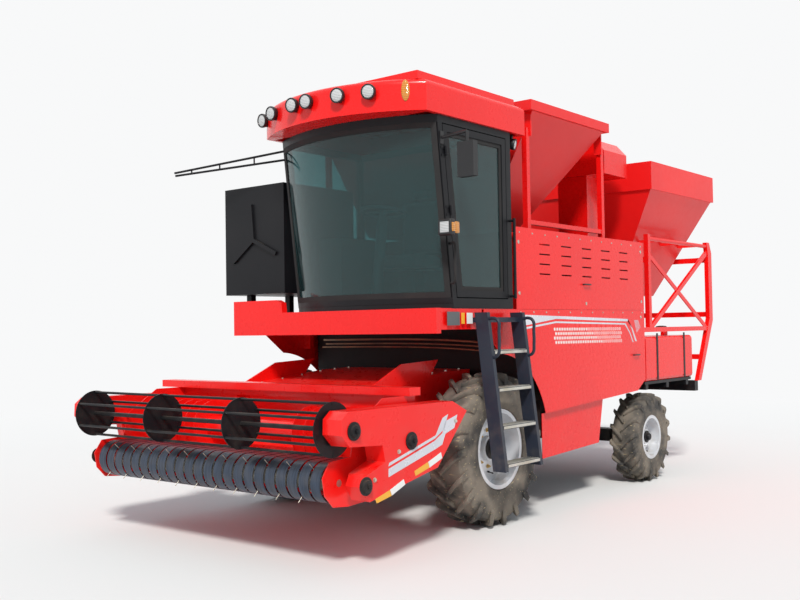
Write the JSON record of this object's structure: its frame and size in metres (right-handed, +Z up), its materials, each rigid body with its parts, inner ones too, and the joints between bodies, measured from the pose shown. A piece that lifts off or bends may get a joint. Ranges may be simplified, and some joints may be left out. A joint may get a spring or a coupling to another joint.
{
  "type": "self-propelled peanut pickup harvester",
  "caption": "Four-wheeled field harvester with a raised cab, a wide rotating pickup header in front and two tipping hoppers behind.",
  "frame": {"origin": "on the ground, under the middle of the machine's box", "axes": "+X forward, +Y to the machine's left, +Z up"},
  "size_m": [7.0569, 3.1385, 3.6497],
  "materials": {
    "red_paint": "gloss red paint",
    "black_paint": "satin black paint",
    "slate_paint": "dark blue-grey paint",
    "silver_paint": "silver-white paint",
    "tyre": "dusty black rubber",
    "glass": "blue-green tinted glass",
    "steel": "bare steel",
    "black_plastic": "grained black plastic",
    "lamp": "clear lamp lens in a black housing"
  },
  "bodies": {
    "root": {"chassis_frame": "black_paint", "front_axle": "black_paint", "rear_axle": "black_paint", "threshing_body": "red_paint", "side_frames": "red_paint", "engine": "black_paint", "upper_panel_left": "red_paint", "upper_panel_right": "red_paint", "lower_panel_left": "red_paint", "lower_panel_right": "red_paint", "fuel_tank": "red_paint", "rear_frame": "red_paint", "rear_housing": "red_paint", "elevator": "red_paint", "platform": "red_paint", "cab_frame": "black_paint", "windscreen": "glass", "cab_side_glass": "glass", "cab_roof": "red_paint", "door_hinges": "black_paint", "seat": "black_plastic", "steering_console": "black_plastic", "screen_box": "black_paint", "lamps": "lamp", "mirror": "black_plastic", "side_arm": "black_paint", "handrails": "black_paint", "ladder": "slate_paint", "header_pivot": "steel", "hopper_posts": "red_paint"},
    "door": {"cab_door": "black_paint", "door_glass": "glass"},
    "header": {"feeder_house": "red_paint", "header_trough": "red_paint", "pickup_bands": "slate_paint", "header_cover_left": "red_paint", "header_cover_right": "red_paint"},
    "pickup_rotor": {"pickup_tines": "steel"},
    "reel_rotor": {"reel": "black_paint"},
    "auger_rotor": {"header_auger": "red_paint"},
    "hopper": {"front_hopper": "red_paint"},
    "bin": {"rear_bin": "red_paint"},
    "front_wheel_left": {"front_tyre_left": "tyre", "front_rim_left": "silver_paint"},
    "front_wheel_right": {"front_tyre_right": "tyre", "front_rim_right": "silver_paint"},
    "rear_wheel_left": {"rear_tyre_left": "tyre", "rear_rim_left": "silver_paint"},
    "rear_wheel_right": {"rear_tyre_right": "tyre", "rear_rim_right": "silver_paint"},
    "steer_left": {"knuckle_left": "black_paint"},
    "steer_right": {"knuckle_right": "black_paint"}
  },
  "joints": [
    {"name": "front_wheel_left_spin", "type": "hinge", "parent": "root", "child": "front_wheel_left", "pos_m": [1.265, 1.131, 0.6325], "axis": [0, 1, 0], "continuous": true},
    {"name": "front_wheel_right_spin", "type": "hinge", "parent": "root", "child": "front_wheel_right", "pos_m": [1.265, -1.131, 0.6325], "axis": [0, 1, 0], "continuous": true},
    {"name": "steer_left_turn", "type": "hinge", "parent": "root", "child": "steer_left", "pos_m": [-1.605, 0.94, 0.46], "axis": [0, 0, 1], "range_deg": [-30, 30]},
    {"name": "rear_wheel_left_spin", "type": "hinge", "parent": "steer_left", "child": "rear_wheel_left", "pos_m": [-1.605, 1.1775, 0.46], "axis": [0, 1, 0], "continuous": true},
    {"name": "steer_right_turn", "type": "hinge", "parent": "root", "child": "steer_right", "pos_m": [-1.605, -0.94, 0.46], "axis": [0, 0, 1], "range_deg": [-30, 30]},
    {"name": "rear_wheel_right_spin", "type": "hinge", "parent": "steer_right", "child": "rear_wheel_right", "pos_m": [-1.605, -1.1775, 0.46], "axis": [0, 1, 0], "continuous": true},
    {"name": "door_swing", "type": "hinge", "parent": "root", "child": "door", "pos_m": [1.822, 1.297, 1.88], "axis": [-0.1168, 0, -0.9932], "range_deg": [0, 65]},
    {"name": "header_lift", "type": "hinge", "parent": "root", "child": "header", "pos_m": [1.015, 0, 1.15], "axis": [0, -1, 0], "range_deg": [-10, 14]},
    {"name": "reel_spin", "type": "hinge", "parent": "header", "child": "reel_rotor", "pos_m": [3.345, 0, 0.98], "axis": [0, 1, 0], "continuous": true},
    {"name": "pickup_spin", "type": "hinge", "parent": "header", "child": "pickup_rotor", "pos_m": [3.235, 0, 0.609], "axis": [0, 1, 0], "continuous": true},
    {"name": "auger_spin", "type": "hinge", "parent": "header", "child": "auger_rotor", "pos_m": [2.745, 0, 0.86], "axis": [0, 1, 0], "continuous": true},
    {"name": "hopper_tip", "type": "hinge", "parent": "root", "child": "hopper", "pos_m": [-0.075, 1.2, 3.38], "axis": [-1, 0, 0], "range_deg": [0, 55]},
    {"name": "bin_tip", "type": "hinge", "parent": "root", "child": "bin", "pos_m": [-2.66, 1.25, 2.56], "axis": [-1, 0, 0], "range_deg": [0, 50]}
  ],
  "couplings": [
    {"joint": "steer_right_turn", "follows": "steer_left_turn", "ratio": 1}
  ]
}
